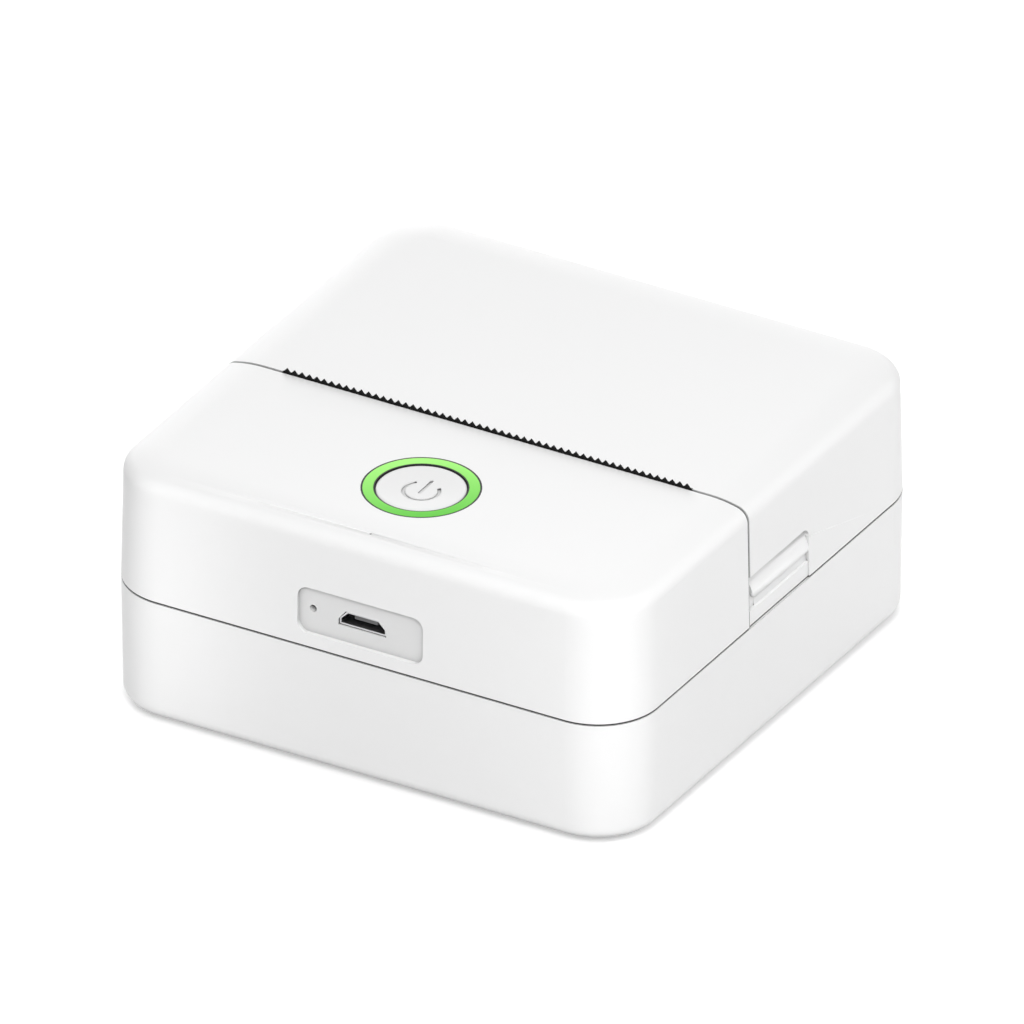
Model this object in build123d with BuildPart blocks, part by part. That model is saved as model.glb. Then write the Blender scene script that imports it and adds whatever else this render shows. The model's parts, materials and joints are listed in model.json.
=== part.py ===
from build123d import *
import os
from math import acos, cos, hypot, pi, radians, sin, sqrt, tan

# A portable thermal printer, in millimetres.
# X runs across the case, Y from its front to its back, Z up from the surface that it stands on.

# Case
width = 84.0
depth = 84.0
corner_radius = 9.4
base_height = 18.8
upper_height = 19.4
foot_standoff = 0.6
wall = 2.0
floor = 2.0
roof = 2.0
parting_gap = 0.2
upper_draft = 1.0
base_draft = 0.95
shoulder_radius = 2.2
crown_radius = 17.0
crown_turn = 15.0
base_edge_radius = 2.0
inner_edge_radius = 2.5

parting_z = foot_standoff + base_height
top_z = parting_z + upper_height
floor_z = foot_standoff + floor
roof_z = top_z - roof
inner_x = width / 2 - wall
inner_y = depth / 2 - wall
upper_bottom_z = parting_z + parting_gap

# Rim that locates the upper shells on the base
lip_gap = 0.15
lip_thickness = 1.0
lip_height = 1.2
lip_root = 3.0
lip_back_y = depth / 2 - 12.0
lip_top_z = parting_z + lip_height
rib_start_z = lip_top_z + 0.3

# Seam between the front cover and the lid
seam_y = -7.12
seam_gap = 0.34
lid_front_y = seam_y + seam_gap

# Screws
screw_radius = 0.9
screw_head_radius = 1.7
screw_head_height = 1.0
case_screw_radius = 1.0
case_screw_head_radius = 1.9
case_screw_head_height = 1.4
screw_hole_gap = 0.2
recess_width = 0.45

# Case screws and bosses
case_boss_radius = 3.0
front_boss_x = inner_x - 6.6
front_boss_y = -inner_y + 6.6
side_boss_x = inner_x - 3.0
side_boss_y = -inner_y + 16.0
case_seat_depth = 12.0
case_screw_length = 15.0
case_boss_gap = 0.2
case_points = [(s * front_boss_x, front_boss_y) for s in (-1, 1)]
case_points += [(s * side_boss_x, side_boss_y) for s in (-1, 1)]

# Feet
foot_radius = 4.2
foot_height = 1.2
foot_gap = 0.2
foot_x = width / 2 - 17.0
foot_y = depth / 2 - 8.5

# Bare sunk panel under the base
panel_width = 38.0
panel_depth = 24.0
panel_sink = 0.3

# Power button and its light ring
button_y = -depth / 2 + 17.0
button_radius = 6.4
button_gap = 0.26
ring_width = 1.48
ring_hole_gap = 0.28
ring_height = 4.2
ring_flange_width = 1.3
ring_flange_height = 0.8
button_sink = 0.1
dish_depth = 0.5
dish_rim = 0.5
button_edge_drop = 0.25
button_height = 4.3
button_flange_height = 0.6
button_flange_width = 0.8
stem_radius = 2.0
stem_length = 1.2
plunger_radius = 1.7
plunger_length = 1.4
symbol_radius = 2.5
symbol_line = 0.5
symbol_depth = 0.14
symbol_gap_angle = 45.0
symbol_bar_low = -0.7
symbol_bar_high = 3.2

# Button switch and its board
switch_size = 6.0
switch_height = 3.2
switch_bore_depth = 1.0
switch_board_width = 30.0
switch_board_front = 10.0
switch_board_back = 9.5
switch_board_thickness = 1.0
switch_boss_x = 13.0
switch_boss_radius = 2.25
led_size = 1.6
led_height = 1.0
led_circle = 7.5

# Pinhole above the front edge
dot_radius = 0.2
dot_y = -depth / 2 + 3.0
dot_depth = 0.6

# Socket recess in the front wall
port_z = parting_z + 5.83
port_width = 20.0
port_height = 7.25
port_corner = 1.7
port_sink = 0.6
mouth_wide = 7.65
mouth_narrow = 5.25
mouth_height = 2.4
mouth_side = 0.9
pinhole_x = -7.8
pinhole_rise = 0.2
pinhole_radius = 0.55

# Finger grips in the lid's side walls
grip_length = 16.2
grip_height = 8.0
grip_corner = 1.5
grip_panel_height = 2.5
grip_panel_depth = 0.2
grip_channel_depth = 0.6
grip_bar_low = 4.05
grip_bar_start = 0.8
grip_bar_corner = 1.0
grip_scoop_depth = 0.95

# Lid hinge
hinge_inset = 3.0
hinge_rise = 3.2
hinge_y = depth / 2 - hinge_inset
hinge_z = parting_z + hinge_rise
pin_radius = 1.0
pin_gap = 0.05
barrel_radius = 2.9
knuckle_x_low = 22.0
knuckle_x_high = 30.0
knuckle_gap = 0.3
barrel_end = 33.5
pin_half_length = 33.0
web_front_y = hinge_y - 2.5
web_drop = 2.4
notch_rise = 3.4

# Print line
platen_y = seam_y + 5.22
platen_z = top_z - 7.8
platen_radius = 4.5
core_radius = 2.0
journal_radius = 1.5
journal_gap = 0.05
bush_radius = 2.75
bush_flange_radius = 3.5
bush_flange = 0.6
bush_gap = 0.1

# Stations across the mechanism, counted in from the case's inner wall
shaft_end_x = inner_x - 1.4
outer_gear_low = inner_x - 3.8
outer_gear_high = inner_x - 1.8
inner_gear_low = inner_x - 6.0
inner_gear_high = inner_x - 4.2
plate_outer_x = inner_x - 7.2
plate_thickness = 1.2
plate_inner_x = plate_outer_x - plate_thickness
arm_outer_x = plate_inner_x - 1.1
arm_thickness = 1.8
arm_inner_x = arm_outer_x - arm_thickness
roller_half = arm_inner_x - bush_flange - 0.3
bush_end_x = plate_outer_x + 0.5
clip_thickness = 0.5
clip_radius = 2.6

# Tear blade
blade_thickness = 0.35
blade_bottom_z = top_z - 3.8
blade_band = 0.1
tooth_count = 55
tooth_pitch = 1.18
tooth_height = 0.65
blade_margin = 0.05
blade_half = tooth_count * tooth_pitch / 2 + blade_margin
blade_slot = 0.3
blade_slot_half = blade_half + 0.15
tip_z = top_z + blade_band + tooth_height

# Lid cross bar and walls behind the seam
beam_depth = 1.8
beam_bottom_z = roof_z - 2.2
rib_thickness = 1.1

# Platen carrier
carrier_front = 5.1
carrier_back = 11.7
carrier_top_z = roof_z - 1.8
carrier_thickness = 1.6
carrier_half = arm_outer_x
carrier_screw_x = 22.0
carrier_screw_y = platen_y + 8.4
carrier_boss_radius = 2.5
arm_end_radius = 3.6
arm_bottom_z = platen_z - 1.4

# Gears
module = 0.5
pressure = radians(20)
addendum = 0.85 * module
dedendum = 1.15 * module
tooth_thinning = 0.06
platen_teeth = 18
transfer_teeth = 24
reduction_small_teeth = 14
reduction_large_teeth = 32
motor_teeth = 14
axle_radius = 0.75
axle_gap = 0.05
motor_radius = 7.5
motor_length = 10.6
motor_floor_gap = 0.55
motor_y = platen_y - 9.36
motor_shaft_radius = 1.0
motor_hole_radius = 2.0
motor_screw_circle = 5.4
motor_screw_radius = 0.7
motor_screw_head = 1.2
motor_screw_head_height = 0.6
motor_z = floor_z + motor_floor_gap + motor_radius

# Print frame
frame_front_y = motor_y - motor_radius - 0.3
frame_back_y = platen_y + 4.9
frame_top_z = platen_z + 3.5
frame_tab_y = platen_y + 1.9
frame_tab_half = 2.6
frame_tab_width = 5.4
frame_tab_height = 3.4
frame_tab_thickness = 1.2
spring_plate_y = platen_y - 12.5
spring_plate_thickness = 1.0
spring_plate_low = platen_z - 7.0
spring_plate_high = platen_z + 2.0
slot_flare = 6.0

# Print head
substrate_gap = 0.15
substrate_thickness = 0.4
head_thickness = 2.0
head_half = 27.0
head_top_z = platen_z + 3.2
head_bottom_z = platen_z - 9.0
head_pin_radius = 0.75
head_pin_z = platen_z - 10.5
head_ear_radius = 1.7
head_ear_low = 12.0
head_ear_high = 20.0
substrate_half_height = 3.0
chip_half = 10.0
chip_height = 3.0
chip_thickness = 0.7
head_front_y = platen_y - platen_radius - substrate_gap - substrate_thickness
head_back_y = head_front_y - head_thickness
head_pin_y = head_back_y + 0.7
spring_x = 14.0
spring_z = platen_z - 2.0
spring_radius = 1.5
spring_wire = 0.25
spring_turns = 5

# Paper guide
guide_inner = platen_radius + 1.5
guide_thickness = 1.4
guide_from = -20.0
guide_to = -115.0
guide_wall_front = platen_y + 0.7
guide_wall_back = platen_y + 2.5
guide_wall_low = floor_z + 1.2
guide_wall_top = platen_z - guide_inner - 0.5
sensor_x = 12.0
sensor_size = 3.6
sensor_depth = 1.6

# Paper bin
bin_wall = 1.4
bin_floor_gap = 1.0
bin_front_y = guide_wall_back + 2.0
bin_back_y = web_front_y - 0.15
bin_outer = (bin_back_y - bin_front_y) / 2
bin_inner = bin_outer - bin_wall
bin_y = (bin_back_y + bin_front_y) / 2
bin_z = floor_z + bin_floor_gap + bin_outer
bin_half = plate_inner_x - 0.7
bin_plate_top = parting_z - 0.2
bin_plate_thickness = 1.6
bin_plate_front = platen_y + 7.4
bin_plate_back = hinge_y - 3.0
bin_plate_half = inner_x - 1.6
bin_post_radius = 2.0
bin_points = [(s * (plate_outer_x + 1.7), platen_y + 10.4) for s in (-1, 1)]
bin_points += [(s * (plate_outer_x + 1.2), hinge_y - 6.5) for s in (-1, 1)]

# Battery
battery_half = inner_x - 15.0
battery_front_y = -inner_y + 1.0
battery_back_y = frame_front_y - 0.3
battery_height = 10.0
pad_thickness = 0.5
battery_corner = 2.0
fence_thickness = 1.2
fence_height = 5.0

# Main board
board_half = inner_x - 10.2
board_front_y = -inner_y + 0.8
board_back_y = frame_front_y - 1.4
board_thickness = 1.2
usb_height = 2.2
board_top_z = port_z - usb_height / 2
board_z = board_top_z - board_thickness
board_post_radius = 2.0
board_post_x = board_half - 1.8
board_points = [(s * board_post_x, board_front_y + 2.2) for s in (-1, 1)]
board_points += [(s * board_post_x, board_back_y - 2.1) for s in (-1, 1)]
usb_half = 3.72
usb_length = 5.0
usb_wall = 0.25
usb_setback = 0.25
reset_half = 2.2
reset_depth = 3.0
reset_height = 3.0
reset_plunger_radius = 0.5
reset_plunger_length = 1.0
reset_bore_depth = 0.8
reset_front_y = board_front_y + 0.6


def block_section(reach, height, draft, arcs):
    """Draw half of a block's upright section, from its middle out to reach."""
    heading = 90 + draft
    rise = 0
    for radius, turn in arcs:
        rise += radius * (cos(radians(heading)) - cos(radians(heading + turn)))
        heading += turn
    side = height - rise
    with BuildLine() as outline:
        Line((0, 0), (reach, 0))
        edge = Line((reach, 0), (reach - side * tan(radians(draft)), side))
        for radius, turn in arcs:
            edge = JernArc(start=edge @ 1, tangent=edge % 1, radius=radius, arc_size=turn)
        Polyline(edge @ 1, (0, height), (0, 0))
    make_face(outline.edges())


def soft_block(inset, height, draft, arcs):
    """A block with round corners, standing on Z = 0, whose edge has one form all the way round."""
    half_x = width / 2 - inset
    half_y = depth / 2 - inset
    radius = corner_radius - inset
    centre = Plane(origin=(half_x - radius, half_y - radius, 0), x_dir=(1, 0, 0), z_dir=(0, -1, 0))
    with BuildPart() as block:
        with BuildSketch(Plane.XZ):
            block_section(half_x, height, draft, arcs)
        extrude(amount=half_y - radius, both=True)
        with BuildSketch(Plane.YZ):
            block_section(half_y, height, draft, arcs)
        extrude(amount=half_x - radius, both=True)
        with BuildSketch(centre):
            block_section(radius, height, draft, arcs)
        revolve(axis=Axis(centre.origin, (0, 0, 1)), revolution_arc=90)
        mirror(about=Plane.YZ)
        mirror(about=Plane.XZ)
    return block.part


def box(x, y, z, mode=Mode.ADD):
    """A square-edged block between two values on each axis."""
    with BuildSketch(Plane.XY.offset(z[0])) as profile:
        with Locations(((x[0] + x[1]) / 2, (y[0] + y[1]) / 2)):
            Rectangle(x[1] - x[0], y[1] - y[0])
    extrude(profile.sketch, amount=z[1] - z[0], mode=mode)


def post(x, y, radius, z, mode=Mode.ADD):
    """A round upright bar."""
    with BuildSketch(Plane.XY.offset(z[0])) as profile:
        with Locations((x, y)):
            Circle(radius)
    extrude(profile.sketch, amount=z[1] - z[0], mode=mode)


def rod(y, z, radius, x, mode=Mode.ADD):
    """A round bar across the case."""
    with BuildSketch(Plane.YZ.offset(x[0])) as profile:
        with Locations((y, z)):
            Circle(radius)
    extrude(profile.sketch, amount=x[1] - x[0], mode=mode)


def both_sides(low, high):
    """The stretch from low to high on the right, and its mirror on the left."""
    return (-high, -low), (low, high)


def screw(seat, head_radius, head_height, shank_radius, length):
    """A screw whose head stands on the seat plane and whose shank goes down from it."""
    with BuildSketch(seat) as profile:
        Circle(head_radius)
    extrude(profile.sketch, amount=head_height)
    with BuildSketch(seat) as profile:
        Circle(shank_radius)
    extrude(profile.sketch, amount=-length)
    with BuildSketch(seat.offset(head_height)) as profile:
        Rectangle(head_radius * 1.2, recess_width)
        Rectangle(recess_width, head_radius * 1.2)
    extrude(profile.sketch, amount=-head_height / 2, mode=Mode.SUBTRACT)


def facing_down(x, y, z):
    """A plane that looks down, for a screw put in from below."""
    return Plane(origin=(x, y, z), x_dir=(1, 0, 0), z_dir=(0, 0, -1))


def facing_up(x, y, z):
    """A plane that looks up, for a screw put in from above."""
    return Plane(origin=(x, y, z), x_dir=(1, 0, 0), z_dir=(0, 0, 1))


def polar(centre, radius, angle):
    """The point at a radius and an angle in radians about a centre."""
    return centre[0] + radius * cos(angle), centre[1] + radius * sin(angle)


def involute(angle):
    """The involute function of an angle in radians."""
    return tan(angle) - angle


def gear_outline(centre, teeth, phase):
    """Draw a stub-tooth gear across X with the middle of one tooth at phase degrees."""
    pitch_radius = teeth * module / 2
    base = pitch_radius * cos(pressure)
    tip = pitch_radius + addendum
    root = pitch_radius - dedendum
    middle = (base + tip) / 2
    pitch_half = (pi * module / 2 - tooth_thinning) / (2 * pitch_radius)

    def half_angle(radius):
        return pitch_half + involute(pressure) - involute(acos(base / radius))

    foot = half_angle(base)
    step = 2 * pi / teeth
    with BuildLine() as outline:
        for number in range(teeth):
            at = radians(phase) + number * step
            Line(polar(centre, root, at - foot), polar(centre, base, at - foot))
            ThreePointArc(
                polar(centre, base, at - foot),
                polar(centre, middle, at - half_angle(middle)),
                polar(centre, tip, at - half_angle(tip)),
            )
            ThreePointArc(
                polar(centre, tip, at - half_angle(tip)),
                polar(centre, tip, at),
                polar(centre, tip, at + half_angle(tip)),
            )
            ThreePointArc(
                polar(centre, tip, at + half_angle(tip)),
                polar(centre, middle, at + half_angle(middle)),
                polar(centre, base, at + foot),
            )
            Line(polar(centre, base, at + foot), polar(centre, root, at + foot))
            ThreePointArc(
                polar(centre, root, at + foot),
                polar(centre, root, at + step / 2),
                polar(centre, root, at + step - foot),
            )
    make_face(outline.edges())


def gear_wheel(centre, teeth, phase, bore, x):
    """A toothed wheel between two stations across the case."""
    with BuildSketch(Plane.YZ.offset(x[0])) as profile:
        gear_outline(centre, teeth, phase)
        with Locations(centre):
            Circle(bore, mode=Mode.SUBTRACT)
    extrude(profile.sketch, amount=x[1] - x[0])


def centre_distance(teeth_a, teeth_b):
    """The distance between two meshed gears' axes."""
    return (teeth_a + teeth_b) * module / 2


def direction(start, end):
    """The direction in degrees from one axis to another."""
    span = hypot(end[0] - start[0], end[1] - start[1])
    angle = acos((end[0] - start[0]) / span) * 180 / pi
    return angle if end[1] >= start[1] else -angle


def mesh_phase(mate, mate_teeth, mate_phase, own, own_teeth):
    """The phase in degrees that puts a gear's gap where its mate has a tooth."""
    facing = direction(mate, own)
    offset = (facing - mate_phase) * mate_teeth / 360
    return facing + 180 - (0.5 - offset) * 360 / own_teeth


def far_corner(first, second, from_first, from_second):
    """The point at two given distances from two axes, on the left of the way between them."""
    span_y = second[0] - first[0]
    span_z = second[1] - first[1]
    span = hypot(span_y, span_z)
    along = (from_first**2 - from_second**2 + span**2) / (2 * span)
    aside = sqrt(from_first**2 - along**2)
    return (
        first[0] + (along * span_y - aside * span_z) / span,
        first[1] + (along * span_z + aside * span_y) / span,
    )


# Gear axes and phases, as points and angles looking from the right
platen_axis = (platen_y, platen_z)
transfer_axis = (platen_y, platen_z - centre_distance(platen_teeth, transfer_teeth))
motor_axis = (motor_y, motor_z)
reduction_axis = far_corner(
    motor_axis,
    transfer_axis,
    centre_distance(motor_teeth, reduction_large_teeth),
    centre_distance(transfer_teeth, reduction_small_teeth),
)
platen_phase = 0.0
transfer_phase = mesh_phase(platen_axis, platen_teeth, platen_phase, transfer_axis, transfer_teeth)
reduction_phase = mesh_phase(
    transfer_axis, transfer_teeth, transfer_phase, reduction_axis, reduction_small_teeth
)
motor_phase = mesh_phase(
    reduction_axis, reduction_large_teeth, reduction_phase, motor_axis, motor_teeth
)

# Case blocks
upper_arcs = [(shoulder_radius, 90 - upper_draft - crown_turn), (crown_radius, crown_turn)]
inner_upper_arcs = [(inner_edge_radius, 90 - upper_draft)]
base_arcs = [(base_edge_radius, 90 - base_draft)]
upper_body = Pos(0, 0, parting_z) * soft_block(0, upper_height, upper_draft, upper_arcs)
upper_cavity = Pos(0, 0, parting_z) * soft_block(
    wall, upper_height - roof, upper_draft, inner_upper_arcs
)
base_body = Pos(0, 0, parting_z) * mirror(
    soft_block(0, base_height, base_draft, base_arcs), about=Plane.XY
)
base_cavity = Pos(0, 0, parting_z) * mirror(
    soft_block(wall, base_height - floor, base_draft, base_arcs), about=Plane.XY
)


def wall_x(rise):
    """The outer face's distance from the middle, at a height above the parting line."""
    return width / 2 - rise * tan(radians(upper_draft))


def rim(z, inset):
    """A rim inside the wall, open at the back where the lid swings."""
    outer = 2 * inset
    inner = 2 * (wall + lip_gap + lip_thickness)
    with BuildSketch(Plane.XY.offset(z[0])) as profile:
        RectangleRounded(width - outer, depth - outer, corner_radius - inset)
        RectangleRounded(
            width - inner, depth - inner, corner_radius - inner / 2, mode=Mode.SUBTRACT
        )
        with Locations((0, lip_back_y + depth / 2)):
            Rectangle(width, depth, mode=Mode.SUBTRACT)
    extrude(profile.sketch, amount=z[1] - z[0])


with BuildPart() as base_shell:
    add(base_body)
    add(base_cavity, mode=Mode.SUBTRACT)
    rim((parting_z - lip_root, parting_z), wall - 0.1)
    rim((parting_z, lip_top_z), wall + lip_gap)
    for x, y in case_points:
        post(x, y, case_boss_radius, (floor_z - 0.5, lip_top_z))
    for x, y in board_points:
        post(x, y, board_post_radius, (floor_z - 0.5, board_z))
    for x, y in bin_points:
        post(x, y, bin_post_radius, (floor_z - 0.5, bin_plate_top - bin_plate_thickness))
    # Pads under the print frame's tabs
    for x in both_sides(plate_outer_x, plate_outer_x + frame_tab_width):
        box(x, (frame_tab_y - frame_tab_half, frame_tab_y + frame_tab_half),
            (floor_z - 0.5, floor_z + frame_tab_height))
    # Fence that holds the battery's back edge
    for x in both_sides(battery_half - 17.0, battery_half - 5.0):
        box(x, (battery_back_y + 0.1, battery_back_y + 0.1 + fence_thickness),
            (floor_z - 0.5, floor_z + fence_height))
    # Hinge knuckles on their webs
    for x in both_sides(knuckle_x_low, knuckle_x_high):
        box(x, (web_front_y, depth / 2 - 0.1), (parting_z - web_drop, hinge_z))
        rod(hinge_y, hinge_z, barrel_radius, x)
        rod(hinge_y, hinge_z, pin_radius, x, mode=Mode.SUBTRACT)
    # Holes for the screws, put in from below and from above
    with Locations(*[facing_down(x, y, foot_standoff) for x, y in case_points]):
        CounterBoreHole(
            radius=case_screw_radius + screw_hole_gap,
            counter_bore_radius=case_screw_head_radius + screw_hole_gap,
            counter_bore_depth=case_seat_depth,
        )
    for x, y in board_points:
        post(x, y, screw_radius, (board_z - 6.0, board_z), mode=Mode.SUBTRACT)
    for x, y in bin_points:
        post(x, y, screw_radius, (bin_plate_top - 7.6, bin_plate_top), mode=Mode.SUBTRACT)
    for side in (-1, 1):
        post(side * (plate_outer_x + 3.0), frame_tab_y, screw_radius,
             (floor_z - 0.8, floor_z + frame_tab_height), mode=Mode.SUBTRACT)
    # Recesses for the feet, and a bare sunk panel
    for x in (-foot_x, foot_x):
        for y in (-foot_y, foot_y):
            post(x, y, foot_radius + foot_gap, (foot_standoff, foot_height), mode=Mode.SUBTRACT)
    with BuildSketch(Plane.XY.offset(foot_standoff)):
        RectangleRounded(panel_width, panel_depth, 2.0)
    extrude(amount=panel_sink, mode=Mode.SUBTRACT)

with BuildPart() as feet:
    for x in (-foot_x, foot_x):
        for y in (-foot_y, foot_y):
            post(x, y, foot_radius, (0, foot_height))
    chamfer(feet.edges().group_by(Axis.Z)[0], 0.3)

with BuildPart() as case_screws:
    for x, y in case_points:
        screw(facing_down(x, y, foot_standoff + case_seat_depth), case_screw_head_radius,
              case_screw_head_height, case_screw_radius, case_screw_length)

port_face_y = -(depth / 2 - (port_z - parting_z) * tan(radians(upper_draft)))
port_floor_y = port_face_y + port_sink
usb_front_y = port_floor_y + usb_setback
pinhole_z = port_z + pinhole_rise
switch_top_z = top_z - button_sink - button_height - button_flange_height - stem_length
switch_board_top = switch_top_z - 1.0 - switch_height
switch_screw_head_z = switch_board_top - switch_board_thickness


def mouth_outline(half_wide, half_narrow, height, side, mode=Mode.ADD):
    """Draw the socket's outline, wide side down, about the sketch's origin."""
    with BuildLine() as outline:
        Polyline(
            (-half_wide, -height / 2), (half_wide, -height / 2), (half_wide, side - height / 2),
            (half_narrow, height / 2), (-half_narrow, height / 2), (-half_wide, side - height / 2),
            close=True,
        )
    make_face(outline.edges(), mode=mode)


def front_plane(y, x=0.0, z=port_z):
    """A plane that looks to the front, with X to the right and Z up."""
    return Plane(origin=(x, y, z), x_dir=(1, 0, 0), z_dir=(0, -1, 0))


ring_outer = button_radius + button_gap + ring_width

with BuildPart() as front_cover:
    add(upper_body)
    split(bisect_by=Plane.XZ.offset(-seam_y), keep=Keep.TOP)
    add(upper_cavity, mode=Mode.SUBTRACT)
    box((-width, width), (-depth, depth), (0, upper_bottom_z), mode=Mode.SUBTRACT)
    for x, y in case_points:
        post(x, y, case_boss_radius, (lip_top_z + case_boss_gap, roof_z + 0.5))
        post(x, y, case_screw_radius, (lip_top_z, lip_top_z + 8.0), mode=Mode.SUBTRACT)
    for x in (-switch_boss_x, switch_boss_x):
        post(x, button_y, switch_boss_radius, (switch_board_top, roof_z + 0.5))
        post(x, button_y, screw_radius, (switch_board_top, switch_board_top + 6.0), mode=Mode.SUBTRACT)
    # Beam that carries the tear blade, and the walls beside the print mechanism
    box((-inner_x + 1.0, inner_x - 1.0), (seam_y - beam_depth, seam_y), (beam_bottom_z, roof_z + 0.5))
    box((-inner_x - 0.3, -plate_outer_x - 0.4), (seam_y - beam_depth, seam_y), (rib_start_z, roof_z))
    box((inner_x - rib_thickness, inner_x + 0.3), (seam_y - beam_depth, seam_y), (rib_start_z, roof_z))
    # Button hole and pinhole
    post(0, button_y, ring_outer + ring_hole_gap, (roof_z - 0.5, top_z + 1.0), mode=Mode.SUBTRACT)
    post(0, dot_y, dot_radius, (top_z - dot_depth - 0.35, top_z), mode=Mode.SUBTRACT)
    # Socket recess, its mouth and the reset pinhole
    with BuildSketch(front_plane(port_floor_y)):
        RectangleRounded(port_width, port_height, port_corner)
    extrude(amount=port_sink + 1.0, mode=Mode.SUBTRACT)
    with BuildSketch(front_plane(port_floor_y + wall)):
        mouth_outline(mouth_wide / 2, mouth_narrow / 2, mouth_height, mouth_side)
        with Locations((pinhole_x, pinhole_rise)):
            Circle(pinhole_radius)
    extrude(amount=wall + port_sink, mode=Mode.SUBTRACT)


def grip_point(rise, depth):
    """A point at a height above the parting line and a depth under the wall's face."""
    return wall_x(rise) - depth, rise


def grip_section():
    """Draw the grip's cut in the right wall: a flat panel, a channel, a finger bar and a scoop over it."""
    bar_foot = grip_point(grip_bar_low, 0.2)
    bar_top = grip_point(5.0, 0.1)
    scoop_low = grip_point(6.8, grip_scoop_depth - 0.08)
    scoop_high = grip_point(7.35, grip_scoop_depth - 0.2)
    with BuildLine() as outline:
        Polyline((width / 2 + 2, -1), (wall_x(0) - grip_panel_depth, -1),
                 grip_point(grip_panel_height, grip_panel_depth),
                 grip_point(grip_panel_height + 0.1, grip_channel_depth - 0.1),
                 grip_point(grip_bar_low - 0.15, grip_channel_depth), bar_foot)
        ThreePointArc(bar_foot, grip_point(4.5, 0.03), bar_top)
        ThreePointArc(bar_top, grip_point(6.0, 0.42), scoop_low)
        ThreePointArc(scoop_low, grip_point(7.05, grip_scoop_depth), scoop_high)
        Polyline(scoop_high, grip_point(grip_height - 0.1, 0.4), grip_point(grip_height, 0),
                 (width / 2 + 2, grip_height), (width / 2 + 2, -1))
    make_face(outline.edges())


with BuildPart() as grip_cut:
    with BuildSketch(Plane.XZ.offset(-lid_front_y)):
        grip_section()
    extrude(amount=-grip_length)
    with BuildSketch(Plane.YZ.offset(inner_x)):
        with BuildLine():
            Polyline((lid_front_y - 1, -2), (lid_front_y + grip_length, -2),
                     (lid_front_y + grip_length, grip_height - grip_corner))
            RadiusArc((lid_front_y + grip_length, grip_height - grip_corner),
                      (lid_front_y + grip_length - grip_corner, grip_height), -grip_corner)
            Polyline((lid_front_y + grip_length - grip_corner, grip_height),
                     (lid_front_y - 1, grip_height), (lid_front_y - 1, -2))
        make_face()
    extrude(amount=wall + 5, mode=Mode.INTERSECT)

# The channel also goes round the bar's front end, which has a round lower corner
bar_start_y = lid_front_y + grip_bar_start
channel_x = grip_point(grip_bar_low, grip_channel_depth)[0]
with BuildPart() as grip_front_cut:
    with BuildSketch(Plane.YZ.offset(channel_x)):
        with BuildLine():
            Polyline((bar_start_y + grip_bar_corner, grip_bar_low),
                     (bar_start_y + grip_bar_corner, grip_panel_height + 0.1),
                     (lid_front_y - 1, grip_panel_height + 0.1), (lid_front_y - 1, 7.0),
                     (bar_start_y, 7.0), (bar_start_y, grip_bar_low + grip_bar_corner))
            RadiusArc((bar_start_y, grip_bar_low + grip_bar_corner),
                      (bar_start_y + grip_bar_corner, grip_bar_low), -grip_bar_corner)
        make_face()
    extrude(amount=wall)

right_grip = Pos(0, 0, parting_z) * (grip_cut.part + grip_front_cut.part)
left_grip = mirror(right_grip, about=Plane.YZ)

with BuildPart() as lid_shell:
    add(upper_body)
    split(bisect_by=Plane.XZ.offset(-lid_front_y), keep=Keep.BOTTOM)
    add(upper_cavity, mode=Mode.SUBTRACT)
    box((-width, width), (-depth, depth), (0, upper_bottom_z), mode=Mode.SUBTRACT)
    # Paper slot behind the tear blade, cut back underneath
    with BuildSketch(Plane.YZ.offset(-blade_slot_half)):
        with BuildLine():
            Polyline(
                (lid_front_y - 1, roof_z - 1), (lid_front_y - 1, top_z + 1),
                (seam_y + blade_thickness + blade_slot, top_z + 1),
                (seam_y + blade_thickness + blade_slot, top_z - 0.8),
                (seam_y + blade_thickness + blade_slot + 0.8, roof_z - 0.3),
                (seam_y + blade_thickness + blade_slot + 0.8, roof_z - 1), close=True,
            )
        make_face()
    extrude(amount=2 * blade_slot_half, mode=Mode.SUBTRACT)
    add(right_grip, mode=Mode.SUBTRACT)
    add(left_grip, mode=Mode.SUBTRACT)
    # Rear lower edge rounded about the hinge, so that it turns inside the case's outline
    with BuildSketch(Plane.YZ.offset(-width)):
        with Locations((hinge_y + hinge_inset / 2 + 1, hinge_z - hinge_rise / 2 - 1)):
            Rectangle(hinge_inset + 2, hinge_rise + 2)
        with Locations((hinge_y, hinge_z)):
            Circle(hinge_inset, mode=Mode.SUBTRACT)
    extrude(amount=2 * width, mode=Mode.SUBTRACT)
    # Hinge barrels, with notches in the rear wall for the base's knuckles
    for x in both_sides(knuckle_x_low - knuckle_gap, knuckle_x_high + knuckle_gap):
        box(x, (hinge_y - 4.0, depth), (0, hinge_z + notch_rise), mode=Mode.SUBTRACT)
    rod(hinge_y, hinge_z, barrel_radius, (knuckle_gap - knuckle_x_low, knuckle_x_low - knuckle_gap))
    for x in both_sides(knuckle_x_high + knuckle_gap, barrel_end):
        rod(hinge_y, hinge_z, barrel_radius, x)
    rod(hinge_y, hinge_z, pin_radius + pin_gap, (-pin_half_length - 0.3, pin_half_length + 0.3),
        mode=Mode.SUBTRACT)
    for x in (-carrier_screw_x, carrier_screw_x):
        post(x, carrier_screw_y, carrier_boss_radius, (carrier_top_z, roof_z + 0.5))
        post(x, carrier_screw_y, screw_radius, (carrier_top_z, roof_z + 0.9), mode=Mode.SUBTRACT)

with BuildPart() as hinge_pin:
    rod(hinge_y, hinge_z, pin_radius, (-pin_half_length, pin_half_length))

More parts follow.
